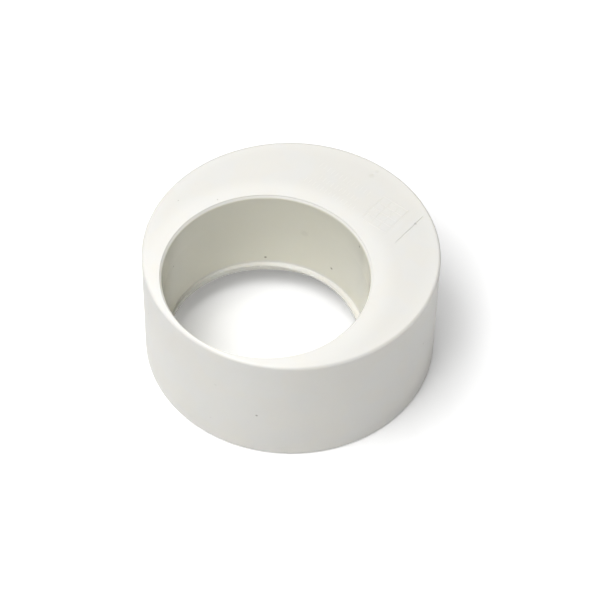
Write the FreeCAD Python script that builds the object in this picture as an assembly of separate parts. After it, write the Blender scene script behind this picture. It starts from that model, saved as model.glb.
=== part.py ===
"""Eccentric (level-invert) reducing bush for solvent-weld PVC-U drain pipe, 110 mm to 75 mm.

One injection moulding, in millimetres. The origin is the centre of the spigot end, +Z runs up the
spigot's axis to the flat socket face, and +X points from the socket's axis towards the wide side
of the face. The socket is off centre along -X, so the walls nearly meet on the -X side and the
two pipes keep one level invert there. The wide side is cored out from below and ribbed.
"""

import math
import os

import FreeCAD
import Part

# Spigot and face
SPIGOT_RADIUS = 55.0
BODY_HEIGHT = 51.0
SKIRT_WALL = 3.2
WEB_THICKNESS = 3.6
RIM_ROUNDING = 1.2
FOOT_ROUNDING = 1.0
SKIRT_END_ROUNDING = 0.8
WEB_CORNER_RADIUS = 2.5

# Socket, on an axis parallel to the spigot's
SOCKET_AXIS_X = -14.6
SEAT_RADIUS = 37.7
MOUTH_RADIUS = 38.05
LEAD_IN_DEPTH = 12.0
MOUTH_CHAMFER = 0.85
MOUTH_STEP = 0.25
MOUTH_ROUNDING = 1.0
SOCKET_WALL = 3.2
TUBE_END_ROUNDING = 0.8

# Stop that the small pipe's end meets, and the opening through it
STOP_LEVEL = 13.7
STOP_THICKNESS = 2.2
STOP_CORNER_RADIUS = 0.45
OPENING_RADIUS = 36.1
OPENING_SHIFT = (-0.6, 0.5)
OPENING_ROUNDING = 0.5

# The lower mould half clears the stop off centre, which leaves a thin crescent of flash
FLASH_THICKNESS = 0.6
RELIEF_SHIFT = 2.4
RELIEF_DEG = -52.0
BEAD_INSET = 0.25
BEADS = ((-3.5, 0.6), (41.5, 0.35))  # angle in degrees, radius

# Ribs that tie the socket tube to the skirt under the web
RIB_THICKNESS = 2.2
RIB_LEVEL = 15.0
RIB_ANGLES_DEG = (-64.0, -32.0, 0.0, 32.0, 64.0)

# Shallow mould marks on the face
GRID_HEIGHT = 0.09
STROKE_HEIGHT = 0.06
GRID_LOW_X = 29.0
GRID_LOW_Y = -21.0
GRID_CELL_X = 3.5
GRID_CELL_Y = 3.8
GRID_COLUMNS = 4
GRID_ROWS = 3
GRID_LINE = 0.5
STROKE_WIDTH = 0.5
STROKE_LENGTH = 2.4
STROKE_PITCH = 1.9
STROKE_ROW_X = (30.0, 34.0, 39.3)
STROKE_ROW_FIRST_Y = (-4.5, -2.6, -4.5)
STROKE_ROW_COUNT = (13, 10, 13)
INSERT_LINE_Y = -27.0
INSERT_LINE_X = (27.3, 44.5)
INSERT_LINE_WIDTH = 0.28
INSERT_LINE_DEPTH = 0.2
INSERT_DOT_X = 39.8
INSERT_DOT_RADIUS = 0.45
GATE_SCAR_X = 48.3
GATE_SCAR_RADIUS = 0.9
GATE_SCAR_DEPTH = 0.12
GATE_STUB_X = 51.2
GATE_STUB_RADIUS = 0.5

# Worked out from the dimensions above
TUBE_RADIUS = SEAT_RADIUS + SOCKET_WALL
TUBE_END_LEVEL = STOP_LEVEL - STOP_THICKNESS
WEB_LEVEL = BODY_HEIGHT - WEB_THICKNESS
SKIRT_BORE_RADIUS = SPIGOT_RADIUS - SKIRT_WALL
OPENING_X = SOCKET_AXIS_X + OPENING_SHIFT[0]
OPENING_Y = OPENING_SHIFT[1]
OVERCUT = 2.0


def point(radius, z):
    """A point of a profile, in the half plane through the Z axis."""
    return FreeCAD.Vector(radius, 0, z)


def corner_arc(centre_r, centre_z, radius, start_deg, end_deg):
    """A round of a profile, given by its centre and its two end angles."""
    angles = [start_deg, (start_deg + end_deg) / 2, end_deg]
    ends = [
        point(
            centre_r + radius * math.cos(math.radians(a)),
            centre_z + radius * math.sin(math.radians(a)),
        )
        for a in angles
    ]
    return Part.Arc(*ends).toShape()


def turned(edges, x=0.0, y=0.0):
    """The solid turned from a closed profile about the vertical axis through (x, y)."""
    face = Part.Face(Part.Wire(Part.sortEdges(edges)[0]))
    solid = face.revolve(FreeCAD.Vector(0, 0, 0), FreeCAD.Vector(0, 0, 1), 360)
    solid.translate(FreeCAD.Vector(x, y, 0))
    return solid


def line(start, end):
    return Part.LineSegment(point(*start), point(*end)).toShape()


def cylinder(radius, low, high, x=0.0, y=0.0):
    return Part.makeCylinder(radius, high - low, FreeCAD.Vector(x, y, low))


def box(low, high):
    size = [b - a for a, b in zip(low, high)]
    return Part.makeBox(*size, FreeCAD.Vector(*low))


def envelope():
    """The spigot as if it were solid, with its rim and foot rounded."""
    r, h = SPIGOT_RADIUS, BODY_HEIGHT
    return turned([
        line((0, 0), (r - FOOT_ROUNDING, 0)),
        corner_arc(r - FOOT_ROUNDING, FOOT_ROUNDING, FOOT_ROUNDING, -90, 0),
        line((r, FOOT_ROUNDING), (r, h - RIM_ROUNDING)),
        corner_arc(r - RIM_ROUNDING, h - RIM_ROUNDING, RIM_ROUNDING, 0, 90),
        line((r - RIM_ROUNDING, h), (0, h)),
        line((0, h), (0, 0)),
    ])


def skirt_hollow():
    """The space inside the skirt, up to the underside of the face web."""
    r, lip, corner = SKIRT_BORE_RADIUS, SKIRT_END_ROUNDING, WEB_CORNER_RADIUS
    return turned([
        line((0, -OVERCUT), (r + lip, -OVERCUT)),
        line((r + lip, -OVERCUT), (r + lip, 0)),
        corner_arc(r + lip, lip, lip, -90, -180),
        line((r, lip), (r, WEB_LEVEL - corner)),
        corner_arc(r - corner, WEB_LEVEL - corner, corner, 0, 90),
        line((r - corner, WEB_LEVEL), (0, WEB_LEVEL)),
        line((0, WEB_LEVEL), (0, -OVERCUT)),
    ])


def socket_tube():
    """The outside of the socket, a tube that hangs from the web and ends at the stop."""
    r, low, lip = TUBE_RADIUS, TUBE_END_LEVEL, TUBE_END_ROUNDING
    top = WEB_LEVEL + WEB_THICKNESS / 2
    tube = turned([
        line((0, low), (r - lip, low)),
        corner_arc(r - lip, low + lip, lip, -90, 0),
        line((r, low + lip), (r, top)),
        line((r, top), (0, top)),
        line((0, top), (0, low)),
    ], SOCKET_AXIS_X)
    inside_skirt = cylinder(SPIGOT_RADIUS - SKIRT_WALL / 2, 0, BODY_HEIGHT)
    return tube.common(inside_skirt)


def rib(angle_deg):
    """One upright rib, radial to the socket's axis, from the tube out to the skirt."""
    start = TUBE_RADIUS - SOCKET_WALL / 2
    half = RIB_THICKNESS / 2
    top = WEB_LEVEL + WEB_THICKNESS / 2
    plate = box((start, -half, RIB_LEVEL), (SPIGOT_RADIUS * 2, half, top))
    plate.rotate(FreeCAD.Vector(0, 0, 0), FreeCAD.Vector(0, 0, 1), angle_deg)
    plate.translate(FreeCAD.Vector(SOCKET_AXIS_X, 0, 0))
    return plate.common(cylinder(SPIGOT_RADIUS - SKIRT_WALL / 2, 0, BODY_HEIGHT))


def socket_space():
    """The space the small pipe goes into: stop, seat, lead-in, mouth chamfer and core step."""
    seat, mouth, corner = SEAT_RADIUS, MOUTH_RADIUS, STOP_CORNER_RADIUS
    low, high = STOP_LEVEL, BODY_HEIGHT
    lead_level = high - LEAD_IN_DEPTH
    step_level = high - MOUTH_STEP
    chamfer_level = step_level - MOUTH_CHAMFER
    flare = mouth + MOUTH_CHAMFER
    blend = MOUTH_ROUNDING
    blend_level = chamfer_level - blend * math.tan(math.radians(22.5))
    chamfer_start = point(
        mouth + blend * (1 - math.sqrt(0.5)), blend_level + blend * math.sqrt(0.5)
    )
    return turned([
        line((0, low), (seat - corner, low)),
        corner_arc(seat - corner, low + corner, corner, -90, 0),
        line((seat, low + corner), (seat, lead_level)),
        line((seat, lead_level), (mouth, blend_level)),
        corner_arc(mouth + blend, blend_level, blend, 180, 135),
        line((chamfer_start.x, chamfer_start.z), (flare, step_level)),
        line((flare, step_level), (flare, high + OVERCUT)),
        line((flare, high + OVERCUT), (0, high + OVERCUT)),
        line((0, high + OVERCUT), (0, low)),
    ], SOCKET_AXIS_X)


def opening():
    """The opening through the stop, rounded over at its upper edge."""
    r, edge, low = OPENING_RADIUS, OPENING_ROUNDING, TUBE_END_LEVEL - OVERCUT
    return turned([
        line((0, low), (r, low)),
        line((r, low), (r, STOP_LEVEL - edge)),
        corner_arc(r + edge, STOP_LEVEL - edge, edge, 180, 90),
        line((r + edge, STOP_LEVEL), (r + edge, STOP_LEVEL + edge)),
        line((r + edge, STOP_LEVEL + edge), (0, STOP_LEVEL + edge)),
        line((0, STOP_LEVEL + edge), (0, low)),
    ], OPENING_X, OPENING_Y)


def relief():
    """What the lower mould half clears under the stop, off centre from the opening."""
    away = math.radians(RELIEF_DEG)
    return cylinder(
        OPENING_RADIUS,
        TUBE_END_LEVEL - OVERCUT,
        STOP_LEVEL - FLASH_THICKNESS,
        OPENING_X + RELIEF_SHIFT * math.cos(away),
        OPENING_Y + RELIEF_SHIFT * math.sin(away),
    )


def bead(angle_deg, radius):
    """A small bead of plastic left on the opening's edge."""
    at = math.radians(angle_deg)
    out = OPENING_RADIUS - BEAD_INSET
    centre = FreeCAD.Vector(
        OPENING_X + out * math.cos(at), OPENING_Y + out * math.sin(at), STOP_LEVEL - radius
    )
    return Part.makeSphere(radius, centre)


def ridge(x, y, length, width, height, along_y=False):
    """A raised line on the face, roof-shaped, from (x, y) along X or along Y."""
    sunk = height / 2
    half = width / 2 * (1 + sunk / height)
    corners = [(-half, -sunk), (half, -sunk), (0, height), (-half, -sunk)]
    wire = Part.makePolygon([FreeCAD.Vector(0, side, up) for side, up in corners])
    solid = Part.Face(wire).extrude(FreeCAD.Vector(length, 0, 0))
    if along_y:
        solid.rotate(FreeCAD.Vector(0, 0, 0), FreeCAD.Vector(0, 0, 1), 90)
    solid.translate(FreeCAD.Vector(x, y, BODY_HEIGHT))
    return solid


def date_grid():
    """The raised, empty grid of a mould's date table."""
    width = GRID_COLUMNS * GRID_CELL_X
    depth = GRID_ROWS * GRID_CELL_Y
    lines = []
    for column in range(GRID_COLUMNS + 1):
        x = GRID_LOW_X + column * GRID_CELL_X
        lines.append(ridge(x, GRID_LOW_Y, depth, GRID_LINE, GRID_HEIGHT, along_y=True))
    for row in range(GRID_ROWS + 1):
        y = GRID_LOW_Y + row * GRID_CELL_Y
        lines.append(ridge(GRID_LOW_X, y, width, GRID_LINE, GRID_HEIGHT))
    return lines


def plain_strokes():
    """Rows of plain raised strokes."""
    strokes = []
    for x, first_y, count in zip(STROKE_ROW_X, STROKE_ROW_FIRST_Y, STROKE_ROW_COUNT):
        for i in range(count):
            y = first_y + i * STROKE_PITCH
            strokes.append(ridge(x, y, STROKE_LENGTH, STROKE_WIDTH, STROKE_HEIGHT))
    return strokes


def insert_line():
    """The fine groove beside the mould's marking insert, and the pin mark on it."""
    half = INSERT_LINE_WIDTH / 2
    low = BODY_HEIGHT - INSERT_LINE_DEPTH
    groove = box(
        (INSERT_LINE_X[0], INSERT_LINE_Y - half, low),
        (INSERT_LINE_X[1], INSERT_LINE_Y + half, BODY_HEIGHT + OVERCUT),
    )
    dot = cylinder(INSERT_DOT_RADIUS, low, BODY_HEIGHT + OVERCUT, INSERT_DOT_X, INSERT_LINE_Y)
    return groove.fuse(dot)


def gate_scar():
    """The shallow scar where the moulding's gate was broken off."""
    low = BODY_HEIGHT - GATE_SCAR_DEPTH
    high = BODY_HEIGHT + OVERCUT
    scar = cylinder(GATE_SCAR_RADIUS, low, high, GATE_SCAR_X)
    return scar.fuse(cylinder(GATE_STUB_RADIUS, low, high, GATE_STUB_X))


def reducer_bush():
    """The whole moulding as one solid."""
    body = envelope().cut(skirt_hollow())
    body = body.fuse([socket_tube()] + [rib(a) for a in RIB_ANGLES_DEG])
    body = body.cut([socket_space(), opening(), relief()])
    body = body.fuse([bead(*b) for b in BEADS] + date_grid() + plain_strokes())
    body = body.cut([insert_line(), gate_scar()])
    return body


def main():
    os.makedirs("parts", exist_ok=True)
    bush = reducer_bush()
    solids = bush.Solids
    print("solids", len(solids), "valid", bush.isValid(), "volume cm3", round(bush.Volume / 1000, 2))
    solids[0].exportStep("parts/reducer_bush.step")


main()
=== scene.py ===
import math
import bpy
from mathutils import Matrix, Vector

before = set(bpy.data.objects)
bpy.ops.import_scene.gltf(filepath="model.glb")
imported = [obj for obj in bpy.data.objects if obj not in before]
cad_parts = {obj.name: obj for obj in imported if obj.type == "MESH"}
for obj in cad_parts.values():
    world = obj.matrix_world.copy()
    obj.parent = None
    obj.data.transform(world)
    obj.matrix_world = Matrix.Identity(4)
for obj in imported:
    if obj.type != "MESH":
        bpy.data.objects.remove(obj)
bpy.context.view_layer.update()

# ---------------------------------------------------------------- camera
# Lengths are in metres. "Front" axes have x to the viewer's right and y away from the viewer.
VIEW_TURN = math.radians(-51.78)
CAMERA_ELEVATION = math.radians(50.27)
CAMERA_DISTANCE = 0.92298
CAMERA_ROLL = math.radians(1.42)
CAMERA_LENS_MM = 147.67
SENSOR_WIDTH_MM = 36.0
CLIP_NEAR = 0.05
CLIP_FAR = 50.0
AIM_RIGHT = 0.003585
AIM_UP = -0.002658
MIDDLE = Vector((0.0, 0.0, 0.0255))

# ---------------------------------------------------------------- studio
LAMP_DISTANCE = 1.0
LAMP_SIZE = 0.50
LAMPS = (
    # name, azimuth and elevation in degrees, power in watts
    ("key_softbox", -52.0, 68.0, 7.1),
    ("front_softbox", -20.0, 50.0, 1.95),
    ("back_softbox", 180.0, 50.0, 1.5),
    ("back_left_softbox", -135.0, 50.0, 1.9),
    ("right_fill", 90.0, 20.0, 1.4),
)
WHITE = (1.0, 1.0, 1.0, 1.0)
WORLD_STRENGTH = 0.05
BACKDROP_STRENGTH = 1.0
FLOOR_SIZE = 6.0
FLOOR_LEVEL = -0.0002
FLOOR_COLOUR = (0.93, 0.93, 0.93, 1.0)
FLOOR_ROUGHNESS = 0.9
FLOOR_LIFT = 0.20
FAR_FLOOR_LIFT = 1.0
FLOOR_FADE = (0.20, 0.90)

# ---------------------------------------------------------------- plastic
# Distances in the plastic are in millimetres, in the part's own axes.
MM_PER_METRE = 1000.0
SOCKET_AXIS = (-14.6, 0.0, 0.0)
OPENING_AXIS = (-15.2, 0.5, 0.0)
OPENING_RADIUS = 36.1
MOUTH_RADIUS = 38.1
FACE_LEVEL = 51.0
STOP_LEVEL = 13.7

# Where one zone blends into the next: radii from an axis, or heights.
BORE_EDGE = (MOUTH_RADIUS, MOUTH_RADIUS + 0.3)
BORE_WALL_LEVELS = (STOP_LEVEL + 0.2, STOP_LEVEL + 2.0)
STOP_LEVELS = (STOP_LEVEL - 0.1, STOP_LEVEL + 0.4)
# Across these radii from the opening's axis, the stop's painted shade fades out.
STOP_PAINTED_SHADE_RADII = (OPENING_RADIUS, OPENING_RADIUS + 1.2)
FACE_LEVELS = (FACE_LEVEL - 0.8, FACE_LEVEL - 0.2)
# Across these two spans the face has painted light and shade: lighter next to the mouth, darker
# outwards, then lighter again at the outer edge.
RING_RADII = (40.5, 49.0)
RIM_RADII = (48.0, 54.5)
# Between these spans lies a painted highlight at the mouth's edge.
LIP_INSIDE_RADII = (MOUTH_RADIUS - 0.1, MOUTH_RADIUS + 0.2)
LIP_OUTSIDE_RADII = (MOUTH_RADIUS + 0.5, MOUTH_RADIUS + 0.8)
# Across these heights a painted highlight comes in on the crests of the raised marks.
CREST_LEVELS = (FACE_LEVEL + 0.01, FACE_LEVEL + 0.05)
# Across these heights the painted shade on the outside fades out upwards.
FOOT_LEVELS = (2.0, 22.0)

PLASTIC_COLOUR = (0.786, 0.778, 0.741)
WARM_PLASTIC_COLOUR = (0.790, 0.776, 0.728)
# The bore's wall colour is painted shade: darker and yellower than the body.
BORE_WALL_PAINTED_SHADE_COLOUR = (0.768, 0.755, 0.657)
SPECK_COLOUR = (0.20, 0.18, 0.13)

# Each shade is added to a brightness of 1. The mottles are added half above and half below it.
BROAD_MOTTLE = 0.030
CLOUDY_MOTTLE = 0.012
# Painted shade on the bore's stop: darker, most at the opening's edge.
STOP_EDGE_PAINTED_SHADE = -0.17
STOP_PAINTED_SHADE = -0.03
# Painted light and shade on the face: lighter next to the mouth, darker outwards, lighter at the
# outer edge.
INNER_RING_PAINTED_LIGHT = 0.040
OUTER_RING_PAINTED_SHADE = -0.040
RIM_PAINTED_LIGHT = 0.035
# Painted highlight: a light line at the mouth's edge.
LIP_PAINTED_HIGHLIGHT = 0.08
# Painted highlight on the crests of the raised marks.
CREST_PAINTED_HIGHLIGHT = 0.06
# Painted shade: the outside darker towards the bottom.
FOOT_PAINTED_SHADE = -0.018
SCUFF_SHADE = -0.020

# The last three are added to the body's roughness.
BODY_ROUGHNESS = 0.33
CLOUDY_ROUGHNESS = 0.10
SCUFF_ROUGHNESS = 0.05
BORE_ROUGHNESS = -0.29

# Noise: the width of its lumps, and the stretch of its values over which an effect comes in.
BROAD_SIZE = 30.0
CLOUDY_SIZE = 5.0
WARM_SIZE = 14.0
WARM_RANGE = (0.44, 0.56)
SCUFF_SIZE = 7.0
SCUFF_RANGE = (0.62, 0.78)
GRAIN_SIZE = 0.5
WAVE_SIZE = 2.2
WAVE_TO_GRAIN = 3.0
RELIEF_METRES = 0.000003

PLASTIC_IOR = 1.53
SUBSURFACE_WEIGHT = 0.12
SUBSURFACE_SPREAD = (1.0, 0.8, 0.5)
SUBSURFACE_METRES = 0.0012

# Tiny dots sit in random cells. Their radii are parts of a cell's width, and a cell shows its dot
# where the length of its random colour is past DOT_CHOICE.
DOT_CELL = 9.0
DOT_RADII = (0.012, 0.026)
DOT_CHOICE = (1.15, 1.25)
DOT_DARKNESS = 0.28
SPECK_EDGE = (0.4, 1.15)
SPECKS = (
    # x, y, z, radius, how dark
    # Inclusions and dull spots in the plastic.
    (14.4, 24.0, 16.6, 0.62, 0.75),
    (23.1, -1.4, 21.2, 0.62, 0.75),
    (19.7, -16.5, 48.1, 0.55, 0.60),
    (-24.6, 36.3, 37.1, 0.40, 0.55),
    (21.5, 10.8, 33.9, 1.90, 0.07),
    (-49.3, -24.3, 21.7, 0.55, 0.65),
    (-46.1, 29.9, 34.7, 0.45, 0.30),
    (11.2, -53.8, 28.8, 0.50, 0.25),
    (-7.7, 48.1, 51.0, 0.35, 0.30),
    (2.0, 37.2, 51.0, 0.35, 0.35),
    (-54.2, -9.1, 32.2, 0.70, 0.08),
    (-54.6, -6.7, 11.0, 0.45, 0.10),
    (20.0, 51.2, 27.0, 0.45, 0.30),
    # The pin mark on the marking insert's line, and the gate scar.
    (39.8, -27.0, 51.0, 0.60, 0.35),
    (48.3, 0.3, 51.0, 1.30, 0.06),
    (51.3, 0.0, 51.0, 0.90, 0.06),
)


class Nodes:
    """Short calls for making the nodes of one node tree."""

    def __init__(self, tree):
        self.tree = tree

    def new(self, kind):
        return self.tree.nodes.new(kind)

    def link(self, value, socket):
        """Feed a socket from another socket, or set it to a constant."""
        if isinstance(value, bpy.types.NodeSocket):
            self.tree.links.new(value, socket)
        else:
            socket.default_value = value

    def math(self, kind, first, second=0.0, third=0.0):
        node = self.new("ShaderNodeMath")
        node.operation = kind
        for value, socket in zip((first, second, third), node.inputs):
            self.link(value, socket)
        return node.outputs[0]

    def product(self, first, second):
        """One vector times another, number by number."""
        node = self.new("ShaderNodeVectorMath")
        node.operation = "MULTIPLY"
        self.link(first, node.inputs[0])
        self.link(second, node.inputs[1])
        return node.outputs["Vector"]

    def scaled(self, vector, scale):
        node = self.new("ShaderNodeVectorMath")
        node.operation = "SCALE"
        self.link(vector, node.inputs[0])
        self.link(scale, node.inputs["Scale"])
        return node.outputs["Vector"]

    def distance(self, first, second=(0.0, 0.0, 0.0)):
        node = self.new("ShaderNodeVectorMath")
        node.operation = "DISTANCE"
        self.link(first, node.inputs[0])
        self.link(second, node.inputs[1])
        return node.outputs["Value"]

    def ramp(self, value, low, high, low_result=0.0, high_result=1.0):
        """A smooth step from one result to another."""
        node = self.new("ShaderNodeMapRange")
        node.interpolation_type = "SMOOTHSTEP"
        for number, socket in zip((value, low, high, low_result, high_result), node.inputs):
            self.link(number, socket)
        return node.outputs[0]

    def noise(self, place, size, detail=2.0, roughness=0.5):
        """Even noise about 0.5 whose lumps are about one size wide."""
        node = self.new("ShaderNodeTexNoise")
        self.link(place, node.inputs["Vector"])
        node.inputs["Scale"].default_value = 1.0 / size
        node.inputs["Detail"].default_value = detail
        node.inputs["Roughness"].default_value = roughness
        return node.outputs["Fac"]

    def mix(self, amount, first, second):
        """A blend of two colours, each a socket or three numbers."""
        node = self.new("ShaderNodeMix")
        node.data_type = "RGBA"
        self.link(amount, node.inputs["Factor"])
        for colour, side in ((first, "A"), (second, "B")):
            socket = [s for s in node.inputs if s.name == side and s.type == "RGBA"][0]
            self.link((*colour, 1.0) if isinstance(colour, tuple) else colour, socket)
        return [s for s in node.outputs if s.type == "RGBA"][0]


class Spot:
    """Where a shaded point lies on the bush, with the noise that several effects share."""

    def __init__(self, n):
        coordinates = n.new("ShaderNodeTexCoord")
        self.place = n.scaled(coordinates.outputs["Object"], MM_PER_METRE)
        parts = n.new("ShaderNodeSeparateXYZ")
        n.link(self.place, parts.inputs[0])
        self.height = parts.outputs["Z"]
        flat = n.product(self.place, (1.0, 1.0, 0.0))
        self.from_spigot = n.distance(flat)
        self.from_socket = n.distance(flat, SOCKET_AXIS)
        self.from_opening = n.distance(flat, OPENING_AXIS)
        self.in_bore = n.ramp(self.from_socket, *BORE_EDGE, 1.0, 0.0)
        self.outside = n.math("SUBTRACT", 1.0, self.in_bore)
        self.cloudy = n.noise(self.place, CLOUDY_SIZE, detail=3.0)
        scuff = n.noise(self.place, SCUFF_SIZE, detail=6.0, roughness=0.65)
        self.scuff = n.math("MULTIPLY", n.ramp(scuff, *SCUFF_RANGE), self.outside)


def from_front(x, y, z):
    """A point or direction given in the front axes, turned into the part's own axes."""
    return Matrix.Rotation(VIEW_TURN, 3, "Z") @ Vector((x, y, z))


def round_about(azimuth, elevation, distance):
    """A place round the object; azimuth 0 is in front of it and 90 to the viewer's right."""
    flat = distance * math.cos(elevation)
    return MIDDLE + from_front(
        flat * math.sin(azimuth), -flat * math.cos(azimuth), distance * math.sin(elevation)
    )


def looking(place, target, roll=0.0):
    """The matrix of a camera or lamp at a place, turned to look at a target."""
    ahead = (target - place).normalized()
    right = ahead.cross(Vector((0, 0, 1))).normalized()
    up = right.cross(ahead)
    turned_right = right * math.cos(roll) + up * math.sin(roll)
    turned_up = up * math.cos(roll) - right * math.sin(roll)
    turn = Matrix((turned_right, turned_up, -ahead)).transposed().to_4x4()
    return Matrix.Translation(place) @ turn


def add_camera(scene):
    data = bpy.data.cameras.new("camera")
    data.sensor_width = SENSOR_WIDTH_MM
    data.lens = CAMERA_LENS_MM
    data.clip_start = CLIP_NEAR
    data.clip_end = CLIP_FAR
    camera = bpy.data.objects.new("camera", data)
    scene.collection.objects.link(camera)
    place = round_about(0.0, CAMERA_ELEVATION, CAMERA_DISTANCE)
    aim = MIDDLE + from_front(AIM_RIGHT, 0.0, AIM_UP)
    camera.matrix_world = looking(place, aim, CAMERA_ROLL)
    scene.camera = camera


def add_lamp(scene, name, azimuth, elevation, power):
    """A square soft box that faces the middle of the object."""
    data = bpy.data.lights.new(name, "AREA")
    data.shape = "RECTANGLE"
    data.size = LAMP_SIZE
    data.size_y = LAMP_SIZE
    data.energy = power
    lamp = bpy.data.objects.new(name, data)
    scene.collection.objects.link(lamp)
    place = round_about(math.radians(azimuth), math.radians(elevation), LAMP_DISTANCE)
    lamp.matrix_world = looking(place, MIDDLE)


def add_world(scene):
    """A faint white sky, which the camera itself sees as a plain white backdrop."""
    world = bpy.data.worlds.new("studio")
    scene.world = world
    world.use_nodes = True
    sky = world.node_tree.nodes["Background"]
    sky.inputs["Color"].default_value = WHITE
    n = Nodes(world.node_tree)
    seen = n.new("ShaderNodeLightPath").outputs["Is Camera Ray"]
    extra = BACKDROP_STRENGTH - WORLD_STRENGTH
    n.link(n.math("MULTIPLY_ADD", seen, extra, WORLD_STRENGTH), sky.inputs["Strength"])


def floor_material():
    """A pale floor that looks brighter to the camera with distance and is clear from below."""
    material = bpy.data.materials.new("pale_floor")
    material.use_nodes = True
    shader = material.node_tree.nodes["Principled BSDF"]
    shader.inputs["Base Color"].default_value = FLOOR_COLOUR
    shader.inputs["Roughness"].default_value = FLOOR_ROUGHNESS
    shader.inputs["Specular IOR Level"].default_value = 0.0
    shader.inputs["Emission Color"].default_value = WHITE
    n = Nodes(material.node_tree)
    seen = n.new("ShaderNodeLightPath").outputs["Is Camera Ray"]
    away = n.distance(n.new("ShaderNodeTexCoord").outputs["Object"])
    lift = n.ramp(away, *FLOOR_FADE, FLOOR_LIFT, FAR_FLOOR_LIFT)
    n.link(n.math("MULTIPLY", seen, lift), shader.inputs["Emission Strength"])

    sides = n.new("ShaderNodeMixShader")
    n.link(n.new("ShaderNodeNewGeometry").outputs["Backfacing"], sides.inputs["Fac"])
    n.link(shader.outputs["BSDF"], sides.inputs[1])
    n.link(n.new("ShaderNodeBsdfTransparent").outputs["BSDF"], sides.inputs[2])
    output = material.node_tree.nodes["Material Output"]
    n.link(sides.outputs["Shader"], output.inputs["Surface"])
    return material


def add_floor(scene):
    mesh = bpy.data.meshes.new("floor")
    half = FLOOR_SIZE / 2
    corners = ((-half, -half), (half, -half), (half, half), (-half, half))
    mesh.from_pydata([(x, y, FLOOR_LEVEL) for x, y in corners], [], [(0, 1, 2, 3)])
    mesh.materials.append(floor_material())
    floor = bpy.data.objects.new("floor", mesh)
    scene.collection.objects.link(floor)
    return floor


def plastic_shade(n, spot):
    """The plastic's brightness: mottling, scuffs, and painted light and shade on the moulding."""
    broad = n.noise(spot.place, BROAD_SIZE)
    shade = n.math("MULTIPLY_ADD", broad, BROAD_MOTTLE, 1.0 - BROAD_MOTTLE / 2)
    shade = n.math("SUBTRACT", shade, CLOUDY_MOTTLE / 2)
    shade = n.math("MULTIPLY_ADD", spot.cloudy, CLOUDY_MOTTLE, shade)

    # Painted shade: the stop at the bottom of the bore is darker, most at the opening's edge.
    on_stop = n.ramp(spot.height, *STOP_LEVELS, 1.0, 0.0)
    on_stop = n.math("MULTIPLY", spot.in_bore, on_stop)
    stop_painted_shade = n.ramp(spot.from_opening, *STOP_PAINTED_SHADE_RADII, STOP_EDGE_PAINTED_SHADE, STOP_PAINTED_SHADE)
    shade = n.math("MULTIPLY_ADD", on_stop, stop_painted_shade, shade)

    # Painted light and shade on the face: lighter next to the mouth, darker outwards, lighter
    # again at the outer edge.
    on_face = n.ramp(spot.height, *FACE_LEVELS)
    ring_painted_light_and_shade = n.ramp(spot.from_socket, *RING_RADII, INNER_RING_PAINTED_LIGHT, OUTER_RING_PAINTED_SHADE)
    rim_painted_light = n.ramp(spot.from_spigot, *RIM_RADII, 0.0, RIM_PAINTED_LIGHT)
    shade = n.math("MULTIPLY_ADD", on_face, n.math("ADD", ring_painted_light_and_shade, rim_painted_light), shade)

    # Painted highlight: a light line along the mouth's edge.
    in_lip = n.ramp(spot.from_socket, *LIP_INSIDE_RADII)
    lip_painted_highlight = n.ramp(spot.from_socket, *LIP_OUTSIDE_RADII, LIP_PAINTED_HIGHLIGHT, 0.0)
    shade = n.math("MULTIPLY_ADD", in_lip, lip_painted_highlight, shade)
    # Painted highlight on the crests of the raised marks.
    shade = n.math("ADD", shade, n.ramp(spot.height, *CREST_LEVELS, 0.0, CREST_PAINTED_HIGHLIGHT))
    # Painted shade: the outside darker towards the bottom.
    foot_painted_shade = n.ramp(spot.height, *FOOT_LEVELS, FOOT_PAINTED_SHADE, 0.0)
    shade = n.math("MULTIPLY_ADD", spot.outside, foot_painted_shade, shade)
    return n.math("MULTIPLY_ADD", spot.scuff, SCUFF_SHADE, shade)


def plastic_darkness(n, spot):
    """How dark the random tiny dots and the listed specks and stains make the plastic."""
    dots = n.new("ShaderNodeTexVoronoi")
    n.link(spot.place, dots.inputs["Vector"])
    dots.inputs["Scale"].default_value = 1.0 / DOT_CELL
    near = n.ramp(dots.outputs["Distance"], *DOT_RADII, 1.0, 0.0)
    chosen = n.ramp(n.distance(dots.outputs["Color"]), *DOT_CHOICE, 0.0, DOT_DARKNESS)
    dark = n.math("MULTIPLY", near, chosen)
    full, none = SPECK_EDGE
    for x, y, z, radius, amount in SPECKS:
        away = n.distance(spot.place, (x, y, z))
        dark = n.math("MAXIMUM", dark, n.ramp(away, radius * full, radius * none, amount, 0.0))
    return dark


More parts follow.
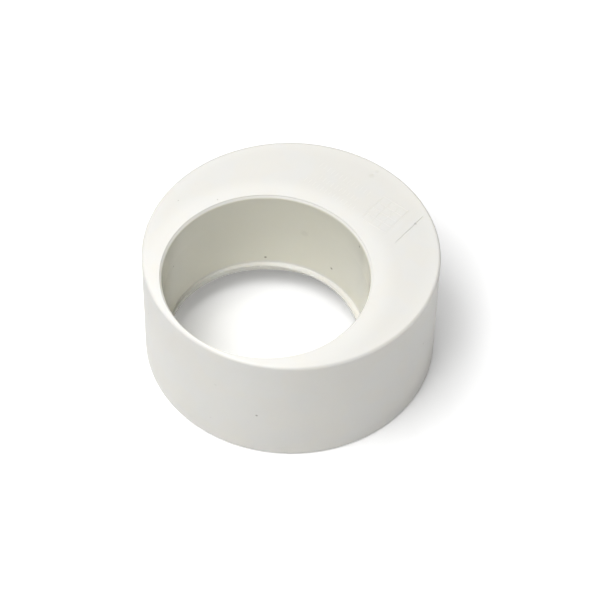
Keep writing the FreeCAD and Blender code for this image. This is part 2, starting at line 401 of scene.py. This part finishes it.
def plastic_colour(n, spot):
    """Warm white in two tones, with the bore's wall darker and yellower as painted shade, then
    shaded with mottling, scuffs and painted light and shade, and specked.
    """
    warm = n.ramp(n.noise(spot.place, WARM_SIZE, detail=1.0), *WARM_RANGE)
    colour = n.mix(warm, PLASTIC_COLOUR, WARM_PLASTIC_COLOUR)
    # Painted shade: the bore's wall darker and yellower.
    on_wall = n.ramp(spot.height, *BORE_WALL_LEVELS)
    colour = n.mix(n.math("MULTIPLY", spot.in_bore, on_wall), colour, BORE_WALL_PAINTED_SHADE_COLOUR)
    colour = n.scaled(colour, plastic_shade(n, spot))
    return n.mix(plastic_darkness(n, spot), colour, SPECK_COLOUR)


def plastic_roughness(n, spot):
    roughness = n.math("MULTIPLY_ADD", spot.cloudy, CLOUDY_ROUGHNESS, BODY_ROUGHNESS)
    roughness = n.math("MULTIPLY_ADD", spot.scuff, SCUFF_ROUGHNESS, roughness)
    return n.math("MULTIPLY_ADD", spot.in_bore, BORE_ROUGHNESS, roughness)


def plastic_normal(n, spot):
    """Fine grain over slight waves."""
    grain = n.noise(spot.place, GRAIN_SIZE)
    waves = n.noise(spot.place, WAVE_SIZE)
    bump = n.new("ShaderNodeBump")
    bump.inputs["Strength"].default_value = 1.0
    bump.inputs["Distance"].default_value = RELIEF_METRES
    n.link(n.math("MULTIPLY_ADD", waves, WAVE_TO_GRAIN, grain), bump.inputs["Height"])
    return bump.outputs["Normal"]


def plastic_material():
    """White moulded PVC."""
    material = bpy.data.materials.new("white_pvc")
    material.use_nodes = True
    shader = material.node_tree.nodes["Principled BSDF"]
    n = Nodes(material.node_tree)
    spot = Spot(n)
    n.link(plastic_colour(n, spot), shader.inputs["Base Color"])
    n.link(plastic_roughness(n, spot), shader.inputs["Roughness"])
    n.link(plastic_normal(n, spot), shader.inputs["Normal"])
    shader.inputs["IOR"].default_value = PLASTIC_IOR
    shader.inputs["Subsurface Weight"].default_value = SUBSURFACE_WEIGHT
    shader.inputs["Subsurface Radius"].default_value = SUBSURFACE_SPREAD
    shader.inputs["Subsurface Scale"].default_value = SUBSURFACE_METRES
    return material


scene = bpy.context.scene
scene.view_settings.view_transform = "Standard"
scene.view_settings.look = "None"
add_camera(scene)
for lamp in LAMPS:
    add_lamp(scene, *lamp)
add_world(scene)
floor = add_floor(scene)

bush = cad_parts["reducer_bush"]
plastic = plastic_material()
for material_slot in bush.material_slots:
    material_slot.material = plastic
